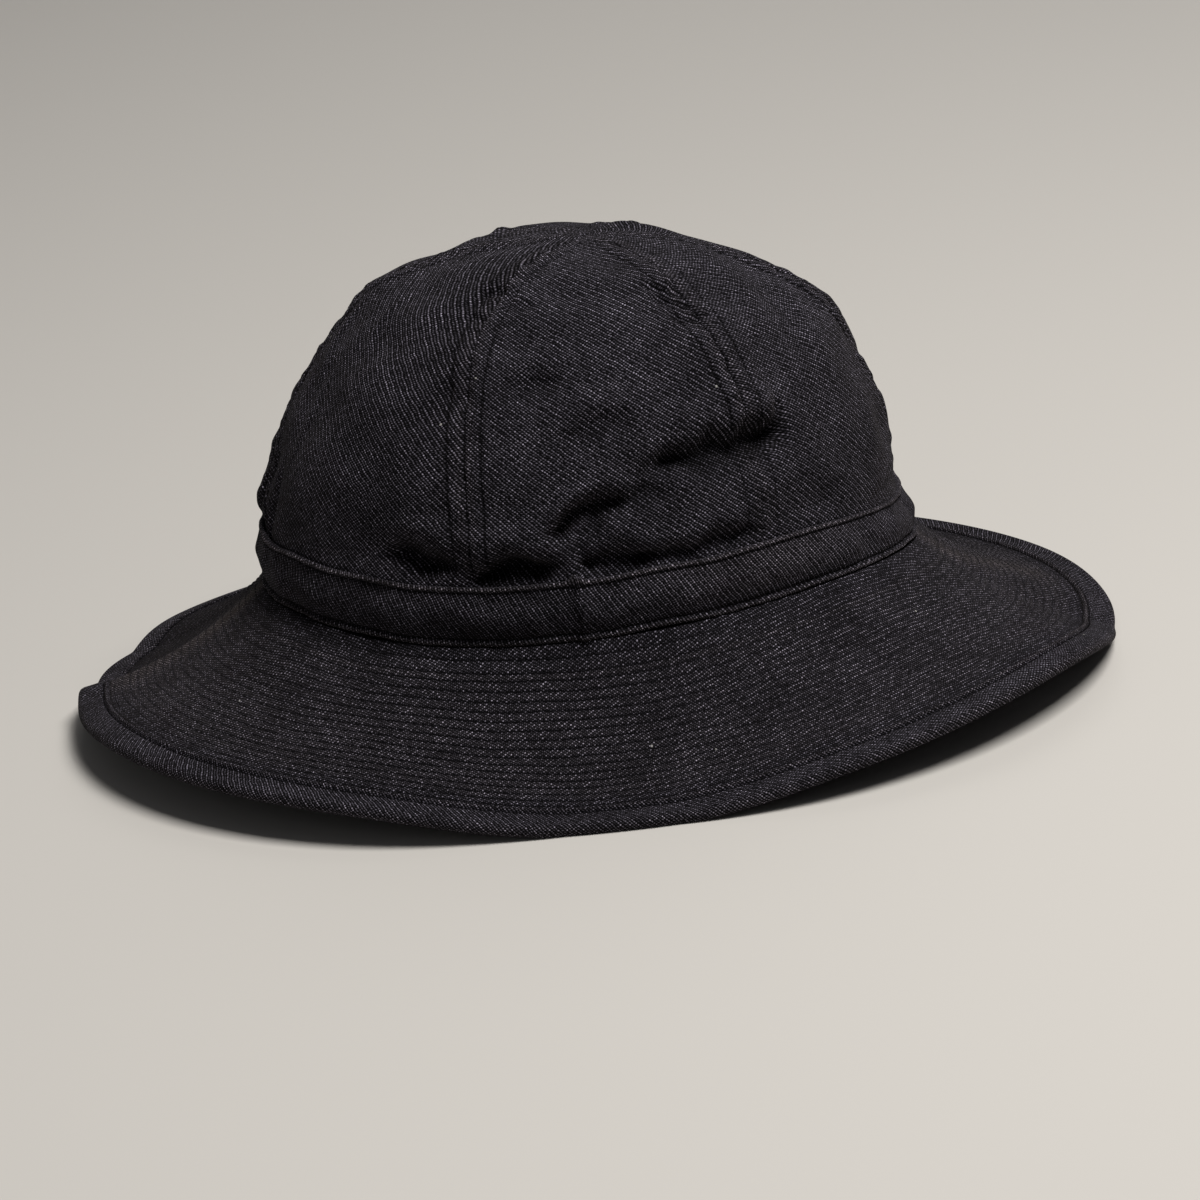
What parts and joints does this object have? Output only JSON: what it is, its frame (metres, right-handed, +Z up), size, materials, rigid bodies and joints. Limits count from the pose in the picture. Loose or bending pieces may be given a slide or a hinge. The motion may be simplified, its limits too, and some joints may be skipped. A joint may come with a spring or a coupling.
{
  "type": "fatigue cap",
  "caption": "Soft six-panel denim sun hat with a stitched cloth band and a wide, stitched, drooping brim with a bound edge.",
  "frame": {"origin": "on the floor under the middle of the cap's overall length and width", "axes": "+Z up through the crown, +X from the front of the brim to the back, -Y towards the wearer's left side"},
  "size_m": [0.3352, 0.285, 0.1437],
  "materials": {
    "crown_cloth": "matte black twill denim",
    "band_cloth": "matte black twill denim",
    "brim_cloth": "matte black twill denim, stitched in close rows",
    "binding_cloth": "matte black twill denim cut on the bias"
  },
  "bodies": {
    "root": {"brim": "brim_cloth", "crown_panel_1": "crown_cloth", "crown_panel_2": "crown_cloth", "crown_panel_3": "crown_cloth", "crown_panel_4": "crown_cloth", "crown_panel_5": "crown_cloth", "crown_panel_6": "crown_cloth", "edge_binding": "binding_cloth", "hat_band": "band_cloth"}
  },
  "joints": []
}
